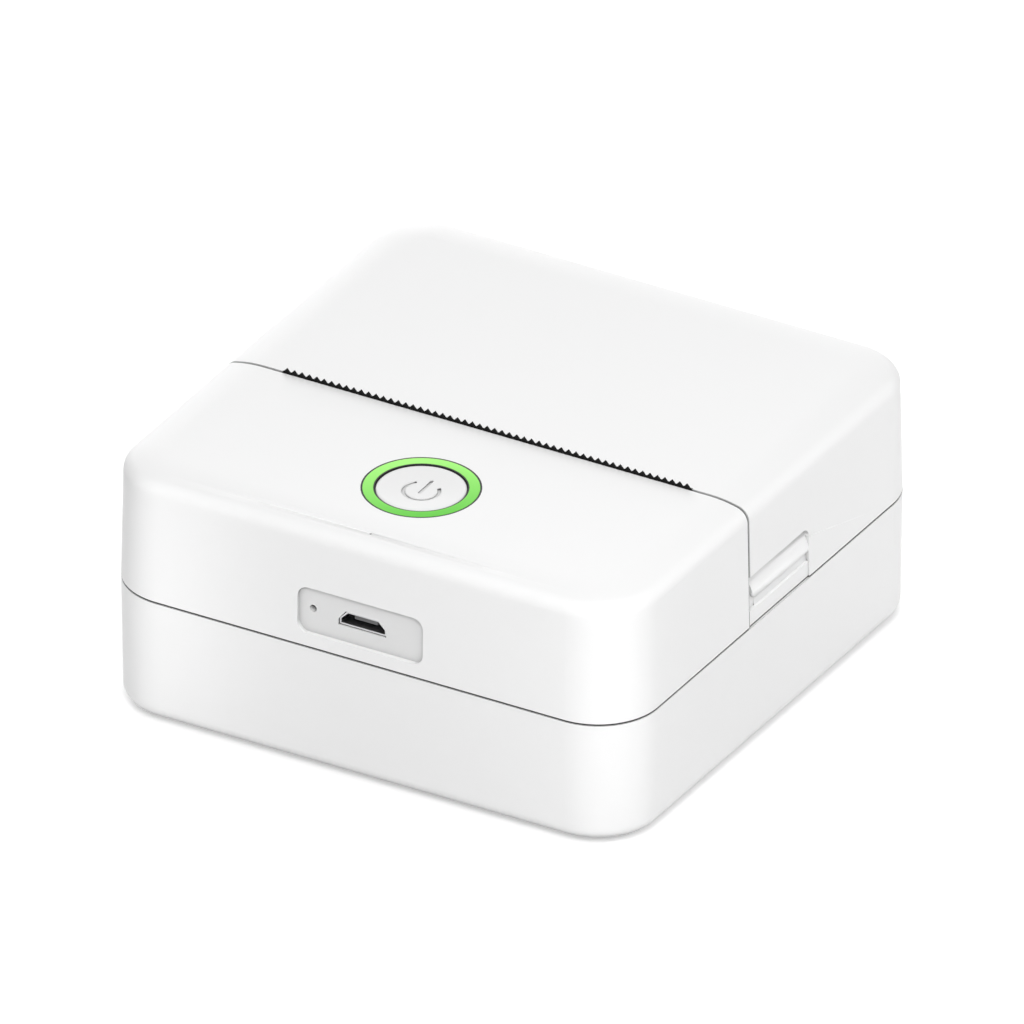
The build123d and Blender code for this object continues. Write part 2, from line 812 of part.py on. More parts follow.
with BuildPart() as tear_blade:
    with BuildSketch(front_plane(seam_y, z=0.0)):
        with BuildLine():
            teeth_left = -tooth_count * tooth_pitch / 2
            band_z = top_z + blade_band
            points = [(-blade_half, band_z), (-blade_half, blade_bottom_z)]
            points += [(blade_half, blade_bottom_z), (blade_half, band_z)]
            for number in range(tooth_count, 0, -1):
                points.append((teeth_left + number * tooth_pitch, band_z))
                points.append((teeth_left + (number - 0.5) * tooth_pitch, tip_z))
            points.append((teeth_left, band_z))
            Polyline(*points, close=True)
        make_face()
    extrude(amount=-blade_thickness)

with BuildPart() as light_ring:
    post(0, button_y, ring_outer, (top_z - ring_height, top_z))
    post(0, button_y, ring_outer + ring_flange_width, (roof_z - ring_flange_height, roof_z))
    post(0, button_y, button_radius + button_gap, (0, top_z + 1), mode=Mode.SUBTRACT)

button_top = top_z - button_sink
button_low = button_top - button_height


def button_section():
    """Draw half of the button's section, with its dish."""
    rim_x = button_radius - dish_rim
    with BuildLine() as outline:
        Polyline((0, button_top - dish_depth), (0, button_low), (button_radius, button_low),
                 (button_radius, button_top - button_edge_drop))
        EllipticalCenterArc((rim_x, button_top - button_edge_drop), dish_rim, button_edge_drop,
                            start_angle=0, arc_size=90)
        ThreePointArc((rim_x, button_top), (rim_x / 2, button_top - dish_depth * 0.75),
                      (0, button_top - dish_depth))
    make_face(outline.edges())


button_plane = Plane(origin=(0, button_y, 0), x_dir=(1, 0, 0), z_dir=(0, -1, 0))
button_axis = Axis((0, button_y, 0), (0, 0, 1))

with BuildPart() as power_button:
    with BuildSketch(button_plane):
        button_section()
    revolve(axis=button_axis)
    post(0, button_y, button_radius + button_flange_width, (button_low - button_flange_height, button_low))
    post(0, button_y, stem_radius, (switch_top_z, button_low))
    # Power symbol sunk into the dish: an open ring and a bar
    gap_x = 2 * symbol_radius * sin(radians(symbol_gap_angle))
    gap_y = 2 * symbol_radius * cos(radians(symbol_gap_angle))
    with BuildSketch(Plane(origin=(0, button_y, button_top - dish_depth - symbol_depth))):
        Circle(symbol_radius + symbol_line / 2)
        Circle(symbol_radius - symbol_line / 2, mode=Mode.SUBTRACT)
        Polygon((0, 0), (gap_x, gap_y), (-gap_x, gap_y), align=None, mode=Mode.SUBTRACT)
        with Locations((0, (symbol_bar_low + symbol_bar_high) / 2)):
            SlotOverall(symbol_bar_high - symbol_bar_low, symbol_line, rotation=90)
    extrude(amount=dish_depth + symbol_depth, mode=Mode.SUBTRACT)

with BuildPart() as switch_plunger:
    post(0, button_y, plunger_radius, (switch_top_z - plunger_length, switch_top_z))

switch_body_top = switch_board_top + switch_height
switch_gap = 0.1

with BuildPart() as button_switch:
    half = switch_size / 2
    box((-half, half), (button_y - half, button_y + half), (switch_board_top, switch_body_top))
    chamfer(button_switch.edges().filter_by(Axis.Z), 0.4)
    post(0, button_y, plunger_radius + switch_gap,
         (switch_body_top - switch_bore_depth, switch_body_top), mode=Mode.SUBTRACT)

with BuildPart() as switch_board:
    half = switch_board_width / 2
    box((-half, half), (button_y - switch_board_front, button_y + switch_board_back),
        (switch_screw_head_z, switch_board_top))
    for x in (-switch_boss_x, switch_boss_x):
        post(x, button_y, screw_radius + screw_hole_gap, (0, top_z), mode=Mode.SUBTRACT)

with BuildPart() as switch_board_screws:
    for x in (-switch_boss_x, switch_boss_x):
        screw(facing_down(x, button_y, switch_screw_head_z), screw_head_radius, screw_head_height,
              screw_radius, 6.0)

with BuildPart() as ring_leds:
    with BuildSketch(Plane.XY.offset(switch_board_top)):
        with Locations((0, button_y)):
            with PolarLocations(led_circle, 4, start_angle=45):
                Rectangle(led_size, led_size)
    extrude(amount=led_height)

with BuildPart() as main_board:
    box((-board_half, board_half), (board_front_y, board_back_y), (board_z, board_top_z))
    fillet(main_board.edges().filter_by(Axis.Z), 1.0)
    for x, y in board_points:
        post(x, y, screw_radius + screw_hole_gap, (0, top_z), mode=Mode.SUBTRACT)

with BuildPart() as board_screws:
    for x, y in board_points:
        screw(facing_up(x, y, board_top_z), screw_head_radius, screw_head_height, screw_radius, 6.0)

with BuildPart() as usb_shell:
    slope = (mouth_wide - mouth_narrow) / 2
    with BuildSketch(front_plane(usb_front_y + usb_length)):
        mouth_outline(usb_half, usb_half - slope, usb_height, mouth_side)
        mouth_outline(usb_half - usb_wall, usb_half - slope - usb_wall / 2,
                      usb_height - 2 * usb_wall, mouth_side - usb_wall, mode=Mode.SUBTRACT)
    extrude(amount=usb_length)

with BuildPart() as usb_tongue:
    box((-1.9, 1.9), (usb_front_y + 0.8, usb_front_y + usb_length - 0.6), (port_z - 0.25, port_z + 0.35))
    box((-usb_half + usb_wall, usb_half - usb_wall),
        (usb_front_y + usb_length - 0.6, usb_front_y + usb_length),
        (port_z - usb_height / 2 + usb_wall, port_z - usb_height / 2 + mouth_side - usb_wall))
    box((-1.9, 1.9), (usb_front_y + usb_length - 0.6, usb_front_y + usb_length),
        (port_z - usb_height / 2 + usb_wall, port_z + 0.35))
    fillet(usb_tongue.edges().group_by(Axis.Y)[0].filter_by(Axis.Z), 0.2)


def board_part(x, y, size_x, size_y, height):
    """A block that stands on the main board, with its centre at x and y."""
    box((x - size_x / 2, x + size_x / 2), (y - size_y / 2, y + size_y / 2),
        (board_top_z, board_top_z + height))


board_mid_y = (board_front_y + board_back_y) / 2

with BuildPart() as mcu_chip:
    board_part(6.0, board_mid_y, 7.0, 7.0, 0.9)
    chamfer(mcu_chip.edges().group_by(Axis.Z)[-1], 0.15)

with BuildPart() as radio_shield:
    board_part(-13.0, board_mid_y, 12.0, 9.0, 1.7)
    fillet(radio_shield.edges().filter_by(Axis.Z), 0.6)

with BuildPart() as battery_socket:
    board_part(board_half - 6.5, board_mid_y, 6.0, 5.0, 3.0)
    box((board_half - 8.6, board_half - 4.4), (board_mid_y - 0.5, board_mid_y + 2.6),
        (board_top_z + 0.8, board_top_z + 2.2), mode=Mode.SUBTRACT)

with BuildPart() as flex_socket:
    board_part(0, board_back_y - 2.2, 16.0, 3.4, 1.2)
    box((-7.2, 7.2), (board_back_y - 1.9, board_back_y), (board_top_z + 0.4, board_top_z + 0.8),
        mode=Mode.SUBTRACT)

with BuildPart() as reset_switch:
    box((pinhole_x - reset_half, pinhole_x + reset_half), (reset_front_y, reset_front_y + reset_depth),
        (board_top_z, board_top_z + reset_height))
    with BuildSketch(front_plane(reset_front_y + reset_bore_depth, pinhole_x, pinhole_z)):
        Circle(reset_plunger_radius + switch_gap)
    extrude(amount=reset_bore_depth, mode=Mode.SUBTRACT)

with BuildPart() as reset_plunger:
    with BuildSketch(front_plane(reset_front_y + reset_bore_depth / 2, pinhole_x, pinhole_z)):
        Circle(reset_plunger_radius)
    extrude(amount=reset_plunger_length + reset_bore_depth / 2)

with BuildPart() as battery_pad:
    box((3.0 - battery_half, battery_half - 3.0), (battery_front_y + 2.0, battery_back_y - 2.0),
        (floor_z, floor_z + pad_thickness))

with BuildPart() as battery_cell:
    box((-battery_half, battery_half), (battery_front_y, battery_back_y),
        (floor_z + pad_thickness, floor_z + pad_thickness + battery_height))
    fillet(battery_cell.edges().filter_by(Axis.X), battery_corner)

# The platen's bushes drop into slots that follow the lid's first movement about its hinge
to_hinge_y = hinge_y - platen_y
to_hinge_z = platen_z - hinge_z
lid_reach = hypot(to_hinge_y, to_hinge_z)
rise_y = to_hinge_z / lid_reach
rise_z = to_hinge_y / lid_reach
slot_radius = bush_radius + bush_gap


def slot_point(along, across):
    """A point in the slot, counted from the platen's axis along its first movement."""
    return platen_y + along * rise_y + across * rise_z, platen_z + along * rise_z - across * rise_y


with BuildPart() as print_frame:
    for x in both_sides(plate_inner_x, plate_outer_x):
        box(x, (frame_front_y, frame_back_y), (floor_z, frame_top_z))
        with BuildSketch(Plane.YZ.offset(x[0])):
            with Locations(platen_axis):
                Circle(slot_radius)
            flare = 10 * tan(radians(slot_flare))
            with BuildLine():
                Polyline(slot_point(0, -slot_radius), slot_point(0, slot_radius),
                         slot_point(10, slot_radius + flare), slot_point(10, -slot_radius), close=True)
            make_face()
        extrude(amount=plate_thickness, mode=Mode.SUBTRACT)
        rod(head_pin_y, head_pin_z, head_pin_radius, x, mode=Mode.SUBTRACT)
    # Plate that the head's springs push against
    box((-plate_inner_x, plate_inner_x), (spring_plate_y, spring_plate_y + spring_plate_thickness),
        (spring_plate_low, spring_plate_high))
    # Tabs screwed down beside the plates
    for x in both_sides(plate_outer_x, plate_outer_x + frame_tab_width):
        box(x, (frame_tab_y - frame_tab_half, frame_tab_y + frame_tab_half),
            (floor_z + frame_tab_height, floor_z + frame_tab_height + frame_tab_thickness))
    for side in (-1, 1):
        post(side * (plate_outer_x + 3.0), frame_tab_y, screw_radius + screw_hole_gap,
             (0, floor_z + 8.0), mode=Mode.SUBTRACT)
    # Openings for the motor's shaft, its screws and the gears' axles, in the right plate
    right_plate = (plate_inner_x, plate_outer_x)
    rod(*motor_axis, motor_hole_radius, right_plate, mode=Mode.SUBTRACT)
    for side in (-1, 1):
        rod(motor_y + side * motor_screw_circle, motor_z, motor_screw_radius, right_plate,
            mode=Mode.SUBTRACT)
    rod(*reduction_axis, axle_radius, right_plate, mode=Mode.SUBTRACT)
    rod(*transfer_axis, axle_radius, right_plate, mode=Mode.SUBTRACT)

with BuildPart() as frame_screws:
    for side in (-1, 1):
        tab_top = floor_z + frame_tab_height + frame_tab_thickness
        screw(facing_up(side * (plate_outer_x + 3.0), frame_tab_y, tab_top), screw_head_radius,
              screw_head_height, screw_radius, frame_tab_height + frame_tab_thickness)

with BuildPart() as head_pivot_pin:
    rod(head_pin_y, head_pin_z, head_pin_radius, (-plate_outer_x, plate_outer_x))

with BuildPart() as head_plate:
    box((-head_half, head_half), (head_back_y, head_front_y), (head_bottom_z, head_top_z))
    for x in both_sides(head_ear_low, head_ear_high):
        box(x, (head_back_y, head_front_y), (head_pin_z, head_bottom_z))
        rod(head_pin_y, head_pin_z, head_ear_radius, x)
    rod(head_pin_y, head_pin_z, head_pin_radius + pin_gap, (-head_half, head_half), mode=Mode.SUBTRACT)

with BuildPart() as head_substrate:
    box((-head_half, head_half), (head_front_y, head_front_y + substrate_thickness),
        (platen_z - substrate_half_height, platen_z + substrate_half_height))

with BuildPart() as head_chip:
    box((-chip_half, chip_half), (head_front_y, head_front_y + chip_thickness),
        (platen_z - substrate_half_height - 0.4 - chip_height, platen_z - substrate_half_height - 0.4))
    chamfer(head_chip.edges().group_by(Axis.Y)[-1], 0.2)

spring_back_y = spring_plate_y + spring_plate_thickness
spring_span = head_back_y - spring_back_y

with BuildPart() as head_springs:
    for x in (-spring_x, spring_x):
        seat = Plane(origin=(x, spring_back_y + spring_wire, spring_z), x_dir=(1, 0, 0), z_dir=(0, 1, 0))
        pitch = (spring_span - 2 * spring_wire) / spring_turns
        coil = seat.location * Helix(pitch, spring_span - 2 * spring_wire, spring_radius)
        with BuildSketch(Plane(origin=coil @ 0, z_dir=coil % 0)):
            Circle(spring_wire)
        sweep(path=coil, is_frenet=True)

with BuildPart() as paper_guide:
    lip_half = arm_inner_x - 0.4
    start = radians(guide_from)
    end = radians(guide_to)
    middle = (start + end) / 2
    outer = guide_inner + guide_thickness
    with BuildSketch(Plane.YZ.offset(-lip_half)):
        with BuildLine():
            ThreePointArc(polar(platen_axis, guide_inner, start), polar(platen_axis, guide_inner, middle),
                          polar(platen_axis, guide_inner, end))
            Line(polar(platen_axis, guide_inner, end), polar(platen_axis, outer, end))
            ThreePointArc(polar(platen_axis, outer, end), polar(platen_axis, outer, middle),
                          polar(platen_axis, outer, start))
            Line(polar(platen_axis, outer, start), polar(platen_axis, guide_inner, start))
        make_face()
    extrude(amount=2 * lip_half)
    box((-plate_inner_x, plate_inner_x), (guide_wall_front, guide_wall_back),
        (guide_wall_low, guide_wall_top))

with BuildPart() as paper_sensor:
    box((sensor_x - sensor_size / 2, sensor_x + sensor_size / 2),
        (guide_wall_front - sensor_depth, guide_wall_front),
        (guide_wall_top - 3.5 - sensor_size, guide_wall_top - 3.5))

with BuildPart() as paper_bin:
    # Round trough for the paper roll
    rod(bin_y, bin_z, bin_outer, (-bin_half, bin_half))
    box((-bin_plate_half, bin_plate_half), (bin_plate_front, bin_plate_back),
        (bin_plate_top - bin_plate_thickness, bin_plate_top))
    rod(bin_y, bin_z, bin_inner, (bin_wall - bin_half, bin_half - bin_wall), mode=Mode.SUBTRACT)
    box((-width, width), (-depth, depth), (bin_plate_top, top_z + 20), mode=Mode.SUBTRACT)
    for x, y in bin_points:
        post(x, y, screw_radius + screw_hole_gap, (0, top_z), mode=Mode.SUBTRACT)

with BuildPart() as bin_screws:
    for x, y in bin_points:
        screw(facing_up(x, y, bin_plate_top), screw_head_radius, 0.3, screw_radius, 7.6)

with BuildPart() as platen_rubber:
    rod(*platen_axis, platen_radius, (-roller_half, roller_half))
    rod(*platen_axis, core_radius, (-roller_half, roller_half), mode=Mode.SUBTRACT)
    chamfer(platen_rubber.edges().filter_by(GeomType.CIRCLE).group_by(SortBy.RADIUS)[-1], 0.3)

shaft_left_x = -bush_end_x - clip_thickness - 0.8

with BuildPart() as platen_shaft:
    rod(*platen_axis, core_radius, (-roller_half, roller_half))
    rod(*platen_axis, journal_radius, (shaft_left_x, shaft_end_x))

with BuildPart() as platen_gear:
    gear_wheel(platen_axis, platen_teeth, platen_phase, journal_radius, (outer_gear_low, outer_gear_high))
    rod(*platen_axis, 2.4, (bush_end_x + clip_thickness + 0.5, outer_gear_low))
    rod(*platen_axis, journal_radius, (0, width), mode=Mode.SUBTRACT)

with BuildPart() as shaft_clips:
    for x in both_sides(bush_end_x + 0.1, bush_end_x + 0.1 + clip_thickness):
        rod(*platen_axis, clip_radius, x)
        rod(*platen_axis, journal_radius, x, mode=Mode.SUBTRACT)
        box(x, (platen_y - 0.9, platen_y + 0.9), (platen_z - 4, platen_z), mode=Mode.SUBTRACT)


def bush(side):
    """A flanged bush for one end of the platen's shaft."""
    ends = sorted((side * arm_inner_x, side * bush_end_x))
    flange = sorted((side * arm_inner_x, side * (arm_inner_x - bush_flange)))
    rod(*platen_axis, bush_radius, ends)
    rod(*platen_axis, bush_flange_radius, flange)
    rod(*platen_axis, journal_radius + journal_gap, (-width, width), mode=Mode.SUBTRACT)


with BuildPart() as platen_bush_left:
    bush(-1)

with BuildPart() as platen_bush_right:
    bush(1)

carrier_low = platen_y + carrier_front
carrier_high = platen_y + carrier_back
carrier_bottom_z = carrier_top_z - carrier_thickness

with BuildPart() as platen_carrier:
    box((-carrier_half, carrier_half), (carrier_low, carrier_high), (carrier_bottom_z, carrier_top_z))
    for x in both_sides(arm_inner_x, arm_outer_x):
        with BuildSketch(Plane.YZ.offset(x[0])):
            with Locations(platen_axis):
                Circle(arm_end_radius)
            with BuildLine():
                Polyline(
                    (platen_y, platen_z + arm_end_radius), (platen_y, platen_z - arm_end_radius),
                    (platen_y + 1.6, platen_z - 3.2), (platen_y + 3.6, arm_bottom_z),
                    (carrier_high - 2.0, arm_bottom_z), (carrier_high, carrier_bottom_z),
                    (carrier_high, carrier_top_z), (carrier_low, carrier_top_z), close=True,
                )
            make_face()
            with Locations(platen_axis):
                Circle(bush_radius, mode=Mode.SUBTRACT)
        extrude(amount=arm_thickness)
    for x in (-carrier_screw_x, carrier_screw_x):
        post(x, carrier_screw_y, screw_radius + screw_hole_gap, (0, top_z), mode=Mode.SUBTRACT)

with BuildPart() as carrier_screws:
    for x in (-carrier_screw_x, carrier_screw_x):
        screw(facing_down(x, carrier_screw_y, carrier_bottom_z), screw_head_radius, screw_head_height,
              screw_radius, carrier_thickness + 2.6)

motor_face_x = plate_inner_x

with BuildPart() as motor_can:
    rod(*motor_axis, motor_radius, (motor_face_x - motor_length, motor_face_x))
    fillet(motor_can.edges().group_by(Axis.X)[0], 0.6)
    rod(*motor_axis, motor_shaft_radius, (motor_face_x - 6.0, motor_face_x), mode=Mode.SUBTRACT)
    for side in (-1, 1):
        rod(motor_y + side * motor_screw_circle, motor_z, motor_screw_radius,
            (motor_face_x - 2.0, motor_face_x), mode=Mode.SUBTRACT)
    rod(*motor_axis, motor_shaft_radius + axle_gap, (motor_face_x - 6.0, motor_face_x),
        mode=Mode.SUBTRACT)

with BuildPart() as motor_screws:
    for side in (-1, 1):
        seat = Plane(origin=(plate_outer_x, motor_y + side * motor_screw_circle, motor_z), z_dir=(1, 0, 0))
        screw(seat, motor_screw_head, motor_screw_head_height, motor_screw_radius, plate_thickness + 2.0)

with BuildPart() as motor_shaft:
    rod(*motor_axis, motor_shaft_radius, (motor_face_x - 6.0, inner_gear_high))

with BuildPart() as motor_pinion:
    gear_wheel(motor_axis, motor_teeth, motor_phase, motor_shaft_radius, (inner_gear_low, inner_gear_high))

with BuildPart() as reduction_gear:
    gear_wheel(reduction_axis, reduction_large_teeth, reduction_phase, axle_radius + axle_gap,
               (inner_gear_low, inner_gear_high))
    gear_wheel(reduction_axis, reduction_small_teeth, reduction_phase, axle_radius + axle_gap,
               (inner_gear_high, outer_gear_high))

with BuildPart() as transfer_gear:
    gear_wheel(transfer_axis, transfer_teeth, transfer_phase, axle_radius + axle_gap,
               (outer_gear_low, outer_gear_high))

with BuildPart() as gear_axles:
    for axis in (reduction_axis, transfer_axis):
        rod(*axis, axle_radius, (plate_inner_x, outer_gear_high + 0.5))

pieces = {
    "base_shell": base_shell,
    "front_cover": front_cover,
    "lid_shell": lid_shell,
    "feet": feet,
    "case_screws": case_screws,
    "hinge_pin": hinge_pin,
    "tear_blade": tear_blade,
    "light_ring": light_ring,
    "power_button": power_button,
    "switch_plunger": switch_plunger,
    "button_switch": button_switch,
    "switch_board": switch_board,
    "switch_board_screws": switch_board_screws,
    "ring_leds": ring_leds,
    "main_board": main_board,
    "board_screws": board_screws,
    "usb_shell": usb_shell,
    "usb_tongue": usb_tongue,
    "mcu_chip": mcu_chip,
    "radio_shield": radio_shield,
    "battery_socket": battery_socket,
    "flex_socket": flex_socket,
    "reset_switch": reset_switch,
    "reset_plunger": reset_plunger,
    "battery_pad": battery_pad,
    "battery_cell": battery_cell,
    "print_frame": print_frame,
    "frame_screws": frame_screws,
    "head_pivot_pin": head_pivot_pin,
    "head_plate": head_plate,
    "head_substrate": head_substrate,
    "head_chip": head_chip,
    "head_springs": head_springs,
    "paper_guide": paper_guide,
    "paper_sensor": paper_sensor,
    "paper_bin": paper_bin,
    "bin_screws": bin_screws,
    "platen_rubber": platen_rubber,
    "platen_shaft": platen_shaft,
    "platen_gear": platen_gear,
    "shaft_clips": shaft_clips,
    "platen_bush_left": platen_bush_left,
    "platen_bush_right": platen_bush_right,
    "platen_carrier": platen_carrier,
    "carrier_screws": carrier_screws,
    "motor_can": motor_can,
    "motor_screws": motor_screws,
    "motor_shaft": motor_shaft,
    "motor_pinion": motor_pinion,
    "reduction_gear": reduction_gear,
    "transfer_gear": transfer_gear,
    "gear_axles": gear_axles,
}

os.makedirs("parts", exist_ok=True)
for label, piece in pieces.items():
    piece.part.label = label
    export_step(piece.part, f"parts/{label}.step")
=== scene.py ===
# %% [markdown]
# # A portable thermal printer
#
# A palm-sized printer is mostly a white glossy box, so its looks come from clean seams, soft edges and
# a few small parts: a toothed blade, a lit button, a socket and a finger grip. The construction is
# already there as a frame of real parts, and this script gives every part its finish, adds the small
# pieces that a finish alone can't show, and sets the studio that it stands in.

# %% Load the frame
import json
import math

import bmesh
import bpy
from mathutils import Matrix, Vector


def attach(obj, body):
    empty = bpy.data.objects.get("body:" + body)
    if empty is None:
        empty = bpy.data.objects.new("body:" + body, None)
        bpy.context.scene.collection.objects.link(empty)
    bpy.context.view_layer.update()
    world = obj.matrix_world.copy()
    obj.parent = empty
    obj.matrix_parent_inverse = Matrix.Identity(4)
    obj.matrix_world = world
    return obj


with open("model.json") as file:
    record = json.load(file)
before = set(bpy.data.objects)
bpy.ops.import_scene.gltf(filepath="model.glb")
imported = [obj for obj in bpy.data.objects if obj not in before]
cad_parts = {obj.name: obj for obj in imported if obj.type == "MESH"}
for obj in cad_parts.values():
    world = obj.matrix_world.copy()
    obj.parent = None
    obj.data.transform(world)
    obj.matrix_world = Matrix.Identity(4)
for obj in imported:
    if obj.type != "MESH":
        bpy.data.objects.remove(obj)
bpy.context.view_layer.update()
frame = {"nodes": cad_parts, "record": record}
nodes = frame["nodes"]
MM = 0.001

# %% [markdown]
# ## The camera
#
# The picture shows the printer without perspective: edges that are parallel on the object are parallel
# in the picture. An orthographic camera does that. It stands 30 degrees to the right and 30 degrees up,
# and its scale is the real width of the view. The camera comes first, because every other choice is
# judged through it.

# %% Camera
view_width = 141.32 * MM
view_azimuth = math.radians(30)
view_elevation = math.radians(30)
object_height = 38.8 * MM
lift_in_view = 2.59 * MM
shift_in_view = 0.015 * MM
camera_distance = 0.6

camera_back = Vector((
    math.sin(view_azimuth) * math.cos(view_elevation),
    -math.cos(view_azimuth) * math.cos(view_elevation),
    math.sin(view_elevation),
))
camera_right = Vector((math.cos(view_azimuth), math.sin(view_azimuth), 0))
camera_up = camera_back.cross(camera_right)
aim = Vector((0, 0, object_height / 2)) + camera_up * lift_in_view + camera_right * shift_in_view

camera_data = bpy.data.cameras.new("camera")
camera_data.type = "ORTHO"
camera_data.ortho_scale = view_width
camera = bpy.data.objects.new("camera", camera_data)
camera.location = aim + camera_back * camera_distance
camera.rotation_euler = (-camera_back).to_track_quat("-Z", "Y").to_euler()
bpy.context.scene.collection.objects.link(camera)
bpy.context.scene.camera = camera
bpy.context.scene.view_settings.view_transform = "Standard"
print("camera at", [round(v, 3) for v in camera.location])

# %% [markdown]
# ## A small kit for materials
#
# A material here is a Principled shader whose colour, roughness and surface relief come from procedural
# patterns. A helper makes the shader with its fixed values set on its own sockets, and another wires a
# pattern group into it. The patterns read Object coordinates in metres, so a scale of 1000 is one
# feature to a millimetre.

# %% Material helpers
PLASTIC_IOR = 1.5
BUMP_STRENGTH = 1.0
TINT_GREY = (0.6, 0.6, 0.6, 1)
materials = {}


def new_material(name, metallic=0.0, coat=0.0):
    """A material with one Principled shader, whose fixed values sit on its sockets."""
    material = bpy.data.materials.new(name)
    material.use_nodes = True
    shader = material.node_tree.nodes["Principled BSDF"]
    shader.inputs["Metallic"].default_value = metallic
    shader.inputs["Coat Weight"].default_value = coat
    shader.inputs["IOR"].default_value = PLASTIC_IOR
    materials[name] = material
    return material, shader


def pattern_group(name, numbers):
    """An empty node group that takes a colour and named numbers, and gives colour, roughness and height."""
    group = bpy.data.node_groups.new(name, "ShaderNodeTree")
    face = group.interface
    face.new_socket(name="Color", in_out="INPUT", socket_type="NodeSocketColor")
    for label in numbers:
        face.new_socket(name=label, in_out="INPUT", socket_type="NodeSocketFloat")
    face.new_socket(name="Color", in_out="OUTPUT", socket_type="NodeSocketColor")
    face.new_socket(name="Roughness", in_out="OUTPUT", socket_type="NodeSocketFloat")
    face.new_socket(name="Height", in_out="OUTPUT", socket_type="NodeSocketFloat")
    return group, group.nodes.new("NodeGroupInput"), group.nodes.new("NodeGroupOutput")


def use_pattern(material, shader, group, color, bump_distance, **numbers):
    """Wire a pattern group into a material, with a Bump node for its height."""
    tree = material.node_tree
    node = tree.nodes.new("ShaderNodeGroup")
    node.node_tree = group
    node.inputs["Color"].default_value = (*color, 1)
    for label, value in numbers.items():
        node.inputs[label].default_value = value
    bump = tree.nodes.new("ShaderNodeBump")
    bump.inputs["Distance"].default_value = bump_distance
    bump.inputs["Strength"].default_value = BUMP_STRENGTH
    tree.links.new(node.outputs["Color"], shader.inputs["Base Color"])
    tree.links.new(node.outputs["Roughness"], shader.inputs["Roughness"])
    tree.links.new(node.outputs["Height"], bump.inputs["Height"])
    tree.links.new(bump.outputs["Normal"], shader.inputs["Normal"])


def math_node(group, operation, first, second):
    """A Math node in a group or a material, fed by sockets or plain numbers."""
    node = group.nodes.new("ShaderNodeMath")
    node.operation = operation
    for socket, value in zip(node.inputs, (first, second)):
        if isinstance(value, (int, float)):
            socket.default_value = value
        else:
            group.links.new(value, socket)
    return node.outputs[0]


def noise(group, scale, detail, stretch=(1, 1, 1)):
    """A noise pattern on Object coordinates, stretched along an axis where that is asked for."""
    place = group.nodes.new("ShaderNodeTexCoord")
    mapping = group.nodes.new("ShaderNodeMapping")
    mapping.inputs["Scale"].default_value = stretch
    texture = group.nodes.new("ShaderNodeTexNoise")
    texture.inputs["Detail"].default_value = detail
    group.links.new(place.outputs["Object"], mapping.inputs["Vector"])
    group.links.new(mapping.outputs["Vector"], texture.inputs["Vector"])
    if isinstance(scale, (int, float)):
        texture.inputs["Scale"].default_value = scale
    else:
        group.links.new(scale, texture.inputs["Scale"])
    return texture.outputs["Fac"]


def tint(group, color, amount, pattern):
    """Darken a colour a little where a pattern is low."""
    mix = group.nodes.new("ShaderNodeMix")
    mix.data_type = "RGBA"
    mix.blend_type = "MULTIPLY"
    group.links.new(math_node(group, "MULTIPLY", pattern, amount), mix.inputs["Factor"])
    group.links.new(color, mix.inputs["A"])
    mix.inputs["B"].default_value = TINT_GREY
    return mix.outputs["Result"]


# %% [markdown]
# ## Painted shade in narrow gaps
#
# Between two white parts the real seam is a dark line, because light that enters it hardly comes back.
# Pale plastic in a render bounces so much light that the line fades, so the shade is painted into the
# colour. The Ambient Occlusion node measures how hemmed in a point is, and the colour goes towards black
# there as painted shade. With a reach under a millimetre it only finds seams, and a narrow range on it
# leaves plain corners as they are. A longer reach finds hollows such as the finger grip, where faces that
# look down get the most painted shade and faces that look up are spared, and a shorter one finds the
# engraved lines on the button.

# %% Painted gap shade
GAP_REACH = 0.7 * MM
HOLLOW_REACH = 2.0 * MM
ENGRAVED_REACH = 0.4 * MM
GAP_SAMPLES = 16
# The black that the painted shade mixes towards.
PAINTED_SHADE_BLACK = (0.01, 0.01, 0.01, 1)
TOP_SPARED = 0.5
UNDERSIDE_SHADED = -0.3


def paint_gap_shade(material, shader, depth, reach=GAP_REACH, closed=0.26, open_from=0.5, spare_tops=False):
    """Mix a material's colour towards black as painted shade where it is hemmed in, with its tops spared or
    not.
    """
    tree = material.node_tree
    source = shader.inputs["Base Color"].links[0].from_socket
    near = tree.nodes.new("ShaderNodeAmbientOcclusion")
    near.samples = GAP_SAMPLES
    near.inputs["Distance"].default_value = reach
    spread = tree.nodes.new("ShaderNodeMapRange")
    spread.inputs["From Min"].default_value = closed
    spread.inputs["From Max"].default_value = open_from
    spread.inputs["To Min"].default_value = depth
    spread.inputs["To Max"].default_value = 0.0
    shade = tree.nodes.new("ShaderNodeMix")
    shade.data_type = "RGBA"
    shade.inputs["B"].default_value = PAINTED_SHADE_BLACK
    tree.links.new(near.outputs["AO"], spread.inputs["Value"])
    factor = spread.outputs["Result"]
    if spare_tops:
        facing = tree.nodes.new("ShaderNodeTexCoord")
        split = tree.nodes.new("ShaderNodeSeparateXYZ")
        down = tree.nodes.new("ShaderNodeMapRange")
        down.inputs["From Min"].default_value = TOP_SPARED
        down.inputs["From Max"].default_value = UNDERSIDE_SHADED
        tree.links.new(facing.outputs["Normal"], split.inputs["Vector"])
        tree.links.new(split.outputs["Z"], down.inputs["Value"])
        factor = math_node(tree, "MULTIPLY", down.outputs["Result"], factor)
    tree.links.new(factor, shade.inputs["Factor"])
    tree.links.new(source, shade.inputs["A"])
    tree.links.new(shade.outputs["Result"], shader.inputs["Base Color"])


# %% [markdown]
# ## Patterns
#
# Three groups cover nearly all the finishes. Moulded plastic has a very fine skin and a roughness that
# drifts where it was handled. Drawn metal has long streaks along one direction. Rubber is dull, grainy
# and a little uneven in colour. Each is built once and takes its colour and strength from the material.

